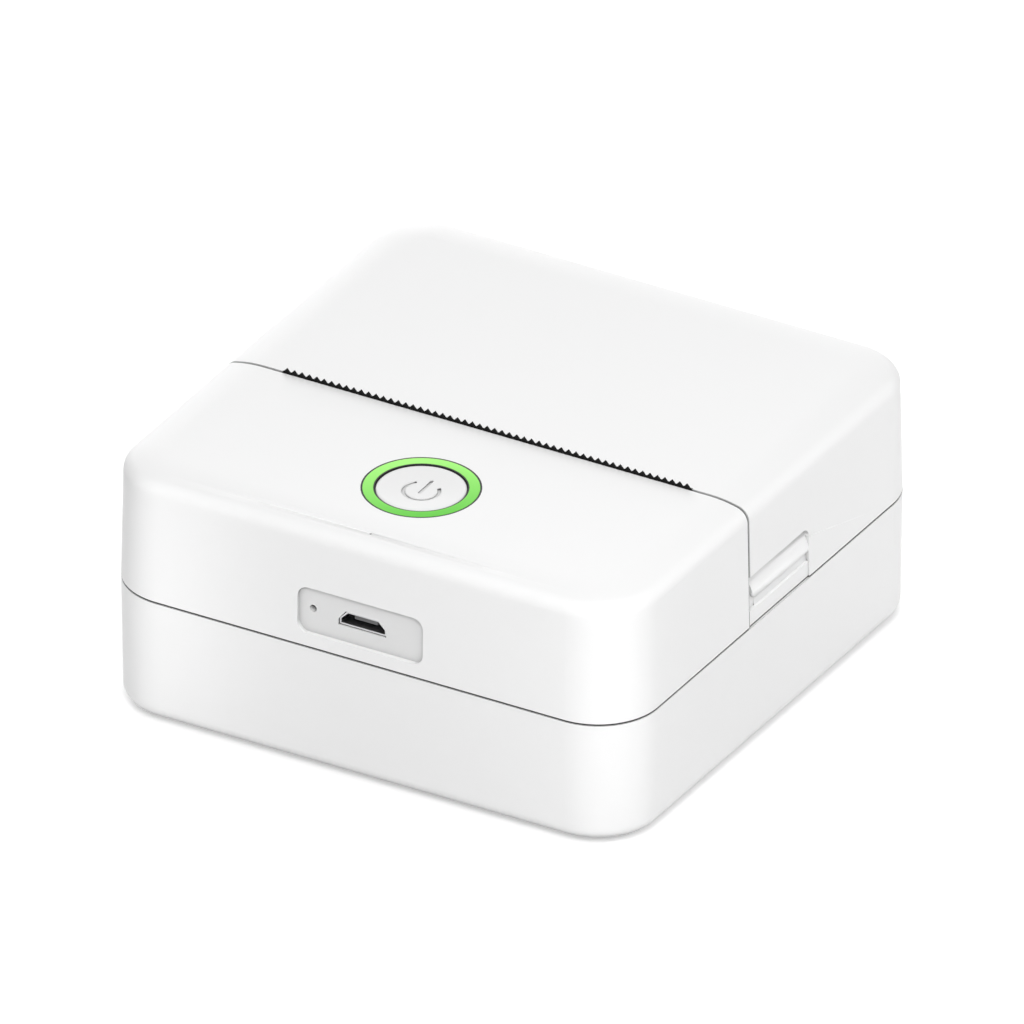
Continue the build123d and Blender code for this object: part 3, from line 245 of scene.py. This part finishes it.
# %% Pattern for moulded plastic
GRAIN_DETAIL = 3.0
DRIFT_SCALE = 70.0
DRIFT_DETAIL = 4.0
plastic, plastic_in, plastic_out = pattern_group("moulded plastic", ["Roughness", "Drift", "Grain", "Tint"])
grain = noise(plastic, plastic_in.outputs["Grain"], GRAIN_DETAIL)
drift = noise(plastic, DRIFT_SCALE, DRIFT_DETAIL)
centred = math_node(plastic, "SUBTRACT", drift, 0.5)
rough_drift = math_node(plastic, "MULTIPLY", centred, plastic_in.outputs["Drift"])
plastic_rough = math_node(plastic, "ADD", plastic_in.outputs["Roughness"], rough_drift)
plastic.links.new(plastic_rough, plastic_out.inputs["Roughness"])
plastic.links.new(grain, plastic_out.inputs["Height"])
plastic_color = tint(plastic, plastic_in.outputs["Color"], plastic_in.outputs["Tint"], drift)
plastic.links.new(plastic_color, plastic_out.inputs["Color"])

# %% Pattern for drawn metal
STREAK_SCALE = 900.0
STREAK_STRETCH = (0.06, 1, 1)
CLOUD_SCALE = 180.0
METAL_DETAIL = 3.0
metal, metal_in, metal_out = pattern_group("drawn metal", ["Roughness", "Streak", "Tint"])
streaks = noise(metal, STREAK_SCALE, METAL_DETAIL, stretch=STREAK_STRETCH)
cloud = noise(metal, CLOUD_SCALE, METAL_DETAIL)
metal_drift = math_node(metal, "MULTIPLY", streaks, metal_in.outputs["Streak"])
metal_rough = math_node(metal, "ADD", metal_in.outputs["Roughness"], metal_drift)
metal.links.new(metal_rough, metal_out.inputs["Roughness"])
metal.links.new(streaks, metal_out.inputs["Height"])
metal_color = tint(metal, metal_in.outputs["Color"], metal_in.outputs["Tint"], cloud)
metal.links.new(metal_color, metal_out.inputs["Color"])

# %% Pattern for rubber
RUBBER_GRAIN_DETAIL = 6.0
RUBBER_CLOUD_SCALE = 250.0
RUBBER_CLOUD_DETAIL = 4.0
RUBBER_ROUGH_SPREAD = 0.1
rubber, rubber_in, rubber_out = pattern_group("rubber", ["Roughness", "Grain", "Tint"])
rubber_grain = noise(rubber, rubber_in.outputs["Grain"], RUBBER_GRAIN_DETAIL)
rubber_cloud = noise(rubber, RUBBER_CLOUD_SCALE, RUBBER_CLOUD_DETAIL)
rubber_drift = math_node(rubber, "MULTIPLY", rubber_grain, RUBBER_ROUGH_SPREAD)
rubber_rough = math_node(rubber, "ADD", rubber_in.outputs["Roughness"], rubber_drift)
rubber.links.new(rubber_rough, rubber_out.inputs["Roughness"])
rubber.links.new(rubber_grain, rubber_out.inputs["Height"])
rubber_color = tint(rubber, rubber_in.outputs["Color"], rubber_in.outputs["Tint"], rubber_cloud)
rubber.links.new(rubber_color, rubber_out.inputs["Color"])
print("pattern groups", [group.name for group in (plastic, metal, rubber)])

# %% [markdown]
# ## Finishes
#
# The case is a hard glossy white, the inside a plainer moulded white, and the rest follows its trade: steel
# screws and pins, brass bushes, a green board, black chips, a dull rubber roller. Each finish is one row of
# numbers, so that two materials of a kind can be told apart and set side by side.

# %% Finishes of the plastics
PLASTICS = {
    # name: colour, roughness, drift, grain, relief in metres, coat, tint
    "shell_white": ((0.86, 0.86, 0.86), 0.30, 0.08, 2600, 0.000002, 0.0, 0.03),
    "button_white": ((0.80, 0.80, 0.80), 0.30, 0.06, 3000, 0.000002, 0.0, 0.03),
    "inner_plastic": ((0.78, 0.78, 0.78), 0.48, 0.10, 1500, 0.000008, 0.0, 0.10),
    "switch_black": ((0.02, 0.02, 0.02), 0.42, 0.10, 2000, 0.000006, 0.0, 0.10),
    "plunger_grey": ((0.20, 0.20, 0.21), 0.45, 0.10, 2000, 0.000006, 0.0, 0.10),
    "board_green": ((0.012, 0.12, 0.035), 0.32, 0.15, 900, 0.000006, 0.3, 0.45),
    "led_clear": ((0.85, 0.90, 0.80), 0.20, 0.05, 2500, 0.000002, 0.0, 0.05),
    "port_grey": ((0.16, 0.16, 0.165), 0.40, 0.10, 2500, 0.000004, 0.0, 0.10),
    "chip_black": ((0.018, 0.018, 0.019), 0.50, 0.12, 3500, 0.000006, 0.0, 0.15),
    "socket_cream": ((0.72, 0.66, 0.50), 0.42, 0.10, 1800, 0.000005, 0.0, 0.10),
    "gear_plastic": ((0.80, 0.79, 0.72), 0.36, 0.10, 1800, 0.000004, 0.0, 0.08),
    "head_ceramic": ((0.62, 0.60, 0.52), 0.16, 0.08, 700, 0.000003, 0.4, 0.20),
}
SHELL_SPECULAR = 0.35
for name, (color, rough, drift_by, grain_scale, relief, coat, tint_by) in PLASTICS.items():
    material, shader = new_material(name, coat=coat)
    use_pattern(material, shader, plastic, color, relief,
                Roughness=rough, Drift=drift_by, Grain=grain_scale, Tint=tint_by)
    # Painted shade: both whites darken in their seams, the shell also in its hollows, and the button in its
    # engraved lines.
    if name in ("shell_white", "button_white"):
        shader.inputs["Specular IOR Level"].default_value = SHELL_SPECULAR
        paint_gap_shade(material, shader, 1.0)
    if name == "shell_white":
        paint_gap_shade(material, shader, 0.5, reach=HOLLOW_REACH, closed=0.4, open_from=0.97,
                    spare_tops=True)
    if name == "button_white":
        paint_gap_shade(material, shader, 0.7, reach=ENGRAVED_REACH, closed=0.4, open_from=0.95)
print("plastics", len(PLASTICS))

# %% Finishes of the metals
METALS = {
    # name: colour, roughness, streak, relief in metres, tint
    "screw_steel": ((0.56, 0.56, 0.57), 0.28, 0.15, 0.000004, 0.30),
    "pin_steel": ((0.66, 0.66, 0.67), 0.18, 0.12, 0.000003, 0.20),
    "bush_brass": ((0.72, 0.50, 0.20), 0.26, 0.15, 0.000004, 0.35),
    "port_steel": ((0.60, 0.60, 0.61), 0.25, 0.15, 0.000003, 0.25),
    "frame_steel": ((0.58, 0.58, 0.60), 0.34, 0.18, 0.000006, 0.35),
    "head_aluminium": ((0.72, 0.72, 0.74), 0.32, 0.18, 0.000006, 0.25),
    "spring_steel": ((0.50, 0.50, 0.51), 0.25, 0.10, 0.000003, 0.20),
    "motor_steel": ((0.52, 0.52, 0.54), 0.30, 0.18, 0.000005, 0.35),
    "cell_wrap": ((0.68, 0.69, 0.71), 0.36, 0.20, 0.000020, 0.25),
}
for name, (color, rough, streak, relief, tint_by) in METALS.items():
    material, shader = new_material(name, metallic=1.0)
    use_pattern(material, shader, metal, color, relief, Roughness=rough, Streak=streak, Tint=tint_by)
blade_color = (0.004, 0.004, 0.004)
blade_relief = 0.000003
blade_specular = 0.12
material, shader = new_material("blade_black")
shader.inputs["Specular IOR Level"].default_value = blade_specular
use_pattern(material, shader, metal, blade_color, blade_relief, Roughness=0.45, Streak=0.12, Tint=0.2)
print("metals", len(METALS) + 1)

# %% Finishes of the rubbers
RUBBERS = {
    # name: colour, roughness, grain, relief in metres, tint
    "foot_rubber": ((0.30, 0.30, 0.31), 0.72, 2600, 0.000015, 0.30),
    "roller_rubber": ((0.018, 0.018, 0.019), 0.62, 4000, 0.000010, 0.35),
    "pad_foam": ((0.05, 0.05, 0.05), 0.90, 1400, 0.000080, 0.50),
}
for name, (color, rough, grain_scale, relief, tint_by) in RUBBERS.items():
    material, shader = new_material(name)
    use_pattern(material, shader, rubber, color, relief, Roughness=rough, Grain=grain_scale, Tint=tint_by)
print("rubbers", len(RUBBERS))

# %% [markdown]
# ## Painted shade on the white shells
#
# The floor of the shallow recess round the socket is painted a shade greyer than the wall, as painted
# shade where less light reaches it. Along the two seams the moulded edges are a little rounded, and the
# walls beside each seam are painted dark as the shade in the gap, which draws each seam as a crisp dark
# line. All are the same mouldings, so the painted shade is a few masks in the white material: boxes in
# Object coordinates, each with its own grey. The seam masks leave out the rims themselves, which stay
# white when the lid is open.

# %% Masks of painted shade on the shells
FACES_ACROSS = 0.9
SHELL_PAINTED_SHADE = {
    # name: centre, half size, grey of painted shade, axis across the seam
    "recess_floor_shade": ((0, -0.0375, 0.02523), (0.01002, 0.00425, 0.00360), 0.86, None),
    "parting_line_shade": ((0, 0, 0.0195), (0.05, 0.05, 0.00017), 0.15, "Z"),
    "lid_seam_shade": ((0, -0.00695, 0.03), (0.05, 0.00024, 0.0105), 0.15, "Y"),
}


def inside_box(tree, centre, half):
    """A value of 1 inside a box and 0 outside it, from Object coordinates."""
    place = tree.nodes.new("ShaderNodeTexCoord")
    offset = tree.nodes.new("ShaderNodeVectorMath")
    offset.operation = "SUBTRACT"
    offset.inputs[1].default_value = centre
    size = tree.nodes.new("ShaderNodeVectorMath")
    size.operation = "ABSOLUTE"
    split = tree.nodes.new("ShaderNodeSeparateXYZ")
    tree.links.new(place.outputs["Object"], offset.inputs[0])
    tree.links.new(offset.outputs["Vector"], size.inputs[0])
    tree.links.new(size.outputs["Vector"], split.inputs["Vector"])
    inside = 1.0
    for axis, limit in zip("XYZ", half):
        less = math_node(tree, "LESS_THAN", split.outputs[axis], limit)
        inside = math_node(tree, "MULTIPLY", less, inside)
    return inside


def wall_only(tree, axis):
    """A value of 0 on faces that look along an axis of their object and 1 on the walls beside them."""
    place = tree.nodes.new("ShaderNodeTexCoord")
    split = tree.nodes.new("ShaderNodeSeparateXYZ")
    tree.links.new(place.outputs["Normal"], split.inputs["Vector"])
    along = math_node(tree, "ABSOLUTE", split.outputs[axis], 0.0)
    return math_node(tree, "LESS_THAN", along, FACES_ACROSS)


def paint_shade_in_box(material, centre, half, level, across):
    """Multiply a material's colour by a grey of painted shade inside a box, with a seam's rims left out."""
    tree = material.node_tree
    shader = tree.nodes["Principled BSDF"]
    grey = tree.nodes.new("ShaderNodeMix")
    grey.data_type = "RGBA"
    grey.blend_type = "MULTIPLY"
    grey.inputs["B"].default_value = (level, level, level, 1)
    inside = inside_box(tree, centre, half)
    if across:
        inside = math_node(tree, "MULTIPLY", inside, wall_only(tree, across))
    tree.links.new(inside, grey.inputs["Factor"])
    tree.links.new(shader.inputs["Base Color"].links[0].from_socket, grey.inputs["A"])
    tree.links.new(grey.outputs["Result"], shader.inputs["Base Color"])


for centre, half, level, across in SHELL_PAINTED_SHADE.values():
    paint_shade_in_box(materials["shell_white"], centre, half, level, across)
print("places on the shells", len(SHELL_PAINTED_SHADE))

# %% [markdown]
# ## The lit ring
#
# The ring round the button is a light guide: clear green plastic with small lamps below it. Seen in a
# bright room it is a saturated green that is a little paler on the left, where the room's light washes
# over it. So it needs a base colour, a weak glow of its own, and painted light: a slow change towards a
# paler green across it, in both the colour and the glow.

# %% Material of the light ring
ring_front = (0.105, 0.52, 0.045, 1)
ring_painted_light_green = (0.36, 0.84, 0.19, 1)
ring_centre = Vector((0, -25 * MM, 0))
ring_reach = 8.2 * MM
ring_painted_light_towards = (-0.6, 0.8, 0)
ring_glow = 0.12
ring_rough = 0.3
ring_specular = 0.3
ring_gap_shade_depth = 0.9
material, shader = new_material("ring_green")
shader.inputs["Specular IOR Level"].default_value = ring_specular
tree = material.node_tree
place = tree.nodes.new("ShaderNodeTexCoord")
centre = tree.nodes.new("ShaderNodeVectorMath")
centre.operation = "SUBTRACT"
centre.inputs[1].default_value = ring_centre
along = tree.nodes.new("ShaderNodeVectorMath")
along.operation = "DOT_PRODUCT"
along.inputs[1].default_value = ring_painted_light_towards
# Painted light: the colour and the glow turn paler towards the back left, where the room's light falls on
# the ring.
ramp = tree.nodes.new("ShaderNodeMapRange")
ramp.inputs["From Min"].default_value = -ring_reach
ramp.inputs["From Max"].default_value = ring_reach
blend = tree.nodes.new("ShaderNodeMix")
blend.data_type = "RGBA"
blend.inputs["A"].default_value = ring_front
blend.inputs["B"].default_value = ring_painted_light_green
tree.links.new(place.outputs["Object"], centre.inputs[0])
tree.links.new(centre.outputs["Vector"], along.inputs[0])
tree.links.new(along.outputs["Value"], ramp.inputs["Value"])
tree.links.new(ramp.outputs["Result"], blend.inputs["Factor"])
tree.links.new(blend.outputs["Result"], shader.inputs["Base Color"])
tree.links.new(blend.outputs["Result"], shader.inputs["Emission Color"])
shader.inputs["Emission Strength"].default_value = ring_glow
shader.inputs["Roughness"].default_value = ring_rough
# Painted shade in the thin gaps beside the ring.
paint_gap_shade(material, shader, ring_gap_shade_depth)
print("ring colours", [round(v, 2) for v in ring_front[:3]], [round(v, 2) for v in ring_painted_light_green[:3]])

# %% [markdown]
# ## Finishes on the frame
#
# Each part of the frame names its slot in the record, and the slot names its finish, so one loop dresses
# all of them.

# %% Dress the frame
for row in frame["record"]["subparts"]:
    node = nodes[row["node"]]
    node.data.materials.clear()
    node.data.materials.append(materials[row["material_slot"]])

# %% [markdown]
# ## Black sleeves of painted shade beside the ring
#
# The thin gaps on both sides of the lit ring hold shade, and two thin black sleeves stand in them as
# painted shade, which also keeps the ring's light out of the white plastic next to it. One lines the hole
# in the cover, and a second one stands between the ring and the button. Each shows as a fine black outline.
# A sleeve is a small rectangle spun once round the button's axis.

# %% Sleeves of painted shade round the ring
button_place = Vector((0, -25, 0)) * MM
sleeve_top = 38.78 * MM
sleeve_foot = 37.2 * MM
sleeve_steps = 96
weld_distance = 0.000001
outer_shade_radii = (8.16 * MM, 8.40 * MM)
inner_shade_radii = (6.47 * MM, 6.64 * MM)


def spin_shade_sleeve(name, inner, outer, foot, top):
    """A thin black ring of painted shade with a rectangular section round the button's axis."""
    bm = bmesh.new()
    corners = [(inner, foot), (outer, foot), (outer, top), (inner, top)]
    points = [bm.verts.new(button_place + Vector((radius, 0, height))) for radius, height in corners]
    edges = [bm.edges.new((points[i], points[(i + 1) % 4])) for i in range(4)]
    bmesh.ops.spin(bm, geom=points + edges, cent=button_place, axis=(0, 0, 1), angle=math.tau,
                   steps=sleeve_steps, use_merge=True)
    bmesh.ops.remove_doubles(bm, verts=bm.verts, dist=weld_distance)
    bmesh.ops.recalc_face_normals(bm, faces=bm.faces)
    mesh = bpy.data.meshes.new(name)
    bm.to_mesh(mesh)
    bm.free()
    sleeve = bpy.data.objects.new(name, mesh)
    bpy.context.scene.collection.objects.link(sleeve)
    mesh.materials.append(materials["switch_black"])
    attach(sleeve, "housing")


# Both sleeves are painted shade in the dark gaps beside the ring.
spin_shade_sleeve("ring_outer_shade_sleeve", *outer_shade_radii, sleeve_foot, sleeve_top)
spin_shade_sleeve("ring_inner_shade_sleeve", *inner_shade_radii, sleeve_foot, sleeve_top)
print("sleeves at", round(sleeve_top / MM, 2), "mm")

# %% [markdown]
# ## Joined faces
#
# The frame's meshes come as loose triangles. Joining them by hand would change the frame, so each part
# gets a Weld modifier with a threshold far below its smallest feature.

# %% Weld the frame
for node in nodes.values():
    weld = node.modifiers.new("weld", "WELD")
    weld.merge_threshold = weld_distance
print("welded", len(nodes), "parts")

# %% [markdown]
# ## Floor and background
#
# The picture's ground is pure white. A white floor only gets that white from more light than the object
# can bear, so the floor glows a little and keeps the object's soft shadow. The glow is there for rays
# that come from the camera, in gloss or through clear material, and it lights nothing. The world does the
# same: it is white to those rays and a weak fill to all others.

# %% Rays that show the ground


def seen_directly(tree):
    """A value of 1 on rays from the camera, in gloss or through clear material, and 0 on all others."""
    rays = tree.nodes.new("ShaderNodeLightPath").outputs
    camera_or_gloss = math_node(tree, "MAXIMUM", rays["Is Camera Ray"], rays["Is Glossy Ray"])
    return math_node(tree, "MAXIMUM", camera_or_gloss, rays["Is Transmission Ray"])


# %% Floor
floor_size = 3.0
floor_grey = (0.68, 0.68, 0.68, 1)
floor_rough = 0.9
floor_glow = 0.45
white = (1, 1, 1, 1)
floor_mesh = bpy.data.meshes.new("floor")
bm = bmesh.new()
bmesh.ops.create_grid(bm, x_segments=1, y_segments=1, size=floor_size)
bm.to_mesh(floor_mesh)
bm.free()
floor = bpy.data.objects.new("floor", floor_mesh)
bpy.context.scene.collection.objects.link(floor)
material, shader = new_material("floor_white")
tree = material.node_tree
shader.inputs["Base Color"].default_value = floor_grey
shader.inputs["Roughness"].default_value = floor_rough
shader.inputs["Specular IOR Level"].default_value = 0.0
glow = tree.nodes.new("ShaderNodeEmission")
glow.inputs["Color"].default_value = white
add = tree.nodes.new("ShaderNodeAddShader")
tree.links.new(math_node(tree, "MULTIPLY", seen_directly(tree), floor_glow), glow.inputs["Strength"])
tree.links.new(shader.outputs["BSDF"], add.inputs[0])
tree.links.new(glow.outputs["Emission"], add.inputs[1])
tree.links.new(add.outputs["Shader"], tree.nodes["Material Output"].inputs["Surface"])
floor_mesh.materials.append(material)
print("floor grey", floor_grey[0], "with glow", floor_glow)

# %% World
world_fill = 0.25
world = bpy.data.worlds.new("studio")
bpy.context.scene.world = world
world.use_nodes = True
tree = world.node_tree
sky = tree.nodes["Background"]
sky.inputs["Color"].default_value = white
choose = tree.nodes.new("ShaderNodeMapRange")
choose.inputs["To Min"].default_value = world_fill
choose.inputs["To Max"].default_value = 1.0
tree.links.new(seen_directly(tree), choose.inputs["Value"])
tree.links.new(choose.outputs["Result"], sky.inputs["Strength"])
print("world fill", world_fill)

# %% [markdown]
# ## Lamps
#
# The light is soft. The key stands high over the near corner: the top stays the brightest face, and both
# walls get nearly the same light. A low lamp at the back left crosses the top at a flat angle, so the
# dish of the button shades from dark to bright. A weak lamp overhead and one on the right fill the rest,
# and a small one near the floor lifts the far end of the right wall. Two narrow strips close to the
# rounded corners draw a bright stripe down each, between two quieter walls. No lamp shows in the gloss.

# %% Lamps
lamp_aim = (0, 0, 0.02)
LAMPS = {
    # name: place, target, width and height in metres, power in watts
    "key_near_corner": ((0.219, -0.363, 0.424), lamp_aim, 0.3, 0.3, 2.5),
    "back_left": ((-0.386, 0.429, 0.15), lamp_aim, 0.3, 0.2, 3.0),
    "overhead": ((0.05, 0, 0.62), lamp_aim, 0.4, 0.4, 0.55),
    "fill_right": ((0.56, 0.10, 0.20), lamp_aim, 0.3, 0.3, 0.3),
    "rear_right": ((0.16, 0.10, 0.06), (0.042, 0.03, 0.02), 0.1, 0.1, 0.04),
    "strip_left": ((-0.034, -0.058, 0.02), (-0.034, -0.042, 0.02), 0.012, 0.05, 0.0012),
    "strip_corner": ((0.0536, -0.0559, 0.02), (0.033, -0.033, 0.02), 0.012, 0.05, 0.0011),
}


def area_lamp(name, place, target, width, height, power):
    """A rectangular soft lamp that looks at a point, unseen itself and not mirrored in gloss."""
    data = bpy.data.lights.new(name, "AREA")
    data.shape = "RECTANGLE"
    data.size = width
    data.size_y = height
    data.energy = power
    lamp = bpy.data.objects.new(name, data)
    lamp.location = place
    lamp.rotation_euler = (Vector(target) - Vector(place)).to_track_quat("-Z", "Y").to_euler()
    lamp.visible_camera = False
    lamp.visible_glossy = False
    bpy.context.scene.collection.objects.link(lamp)


for name, row in LAMPS.items():
    area_lamp(name, *row)
print("lamps", len(LAMPS))
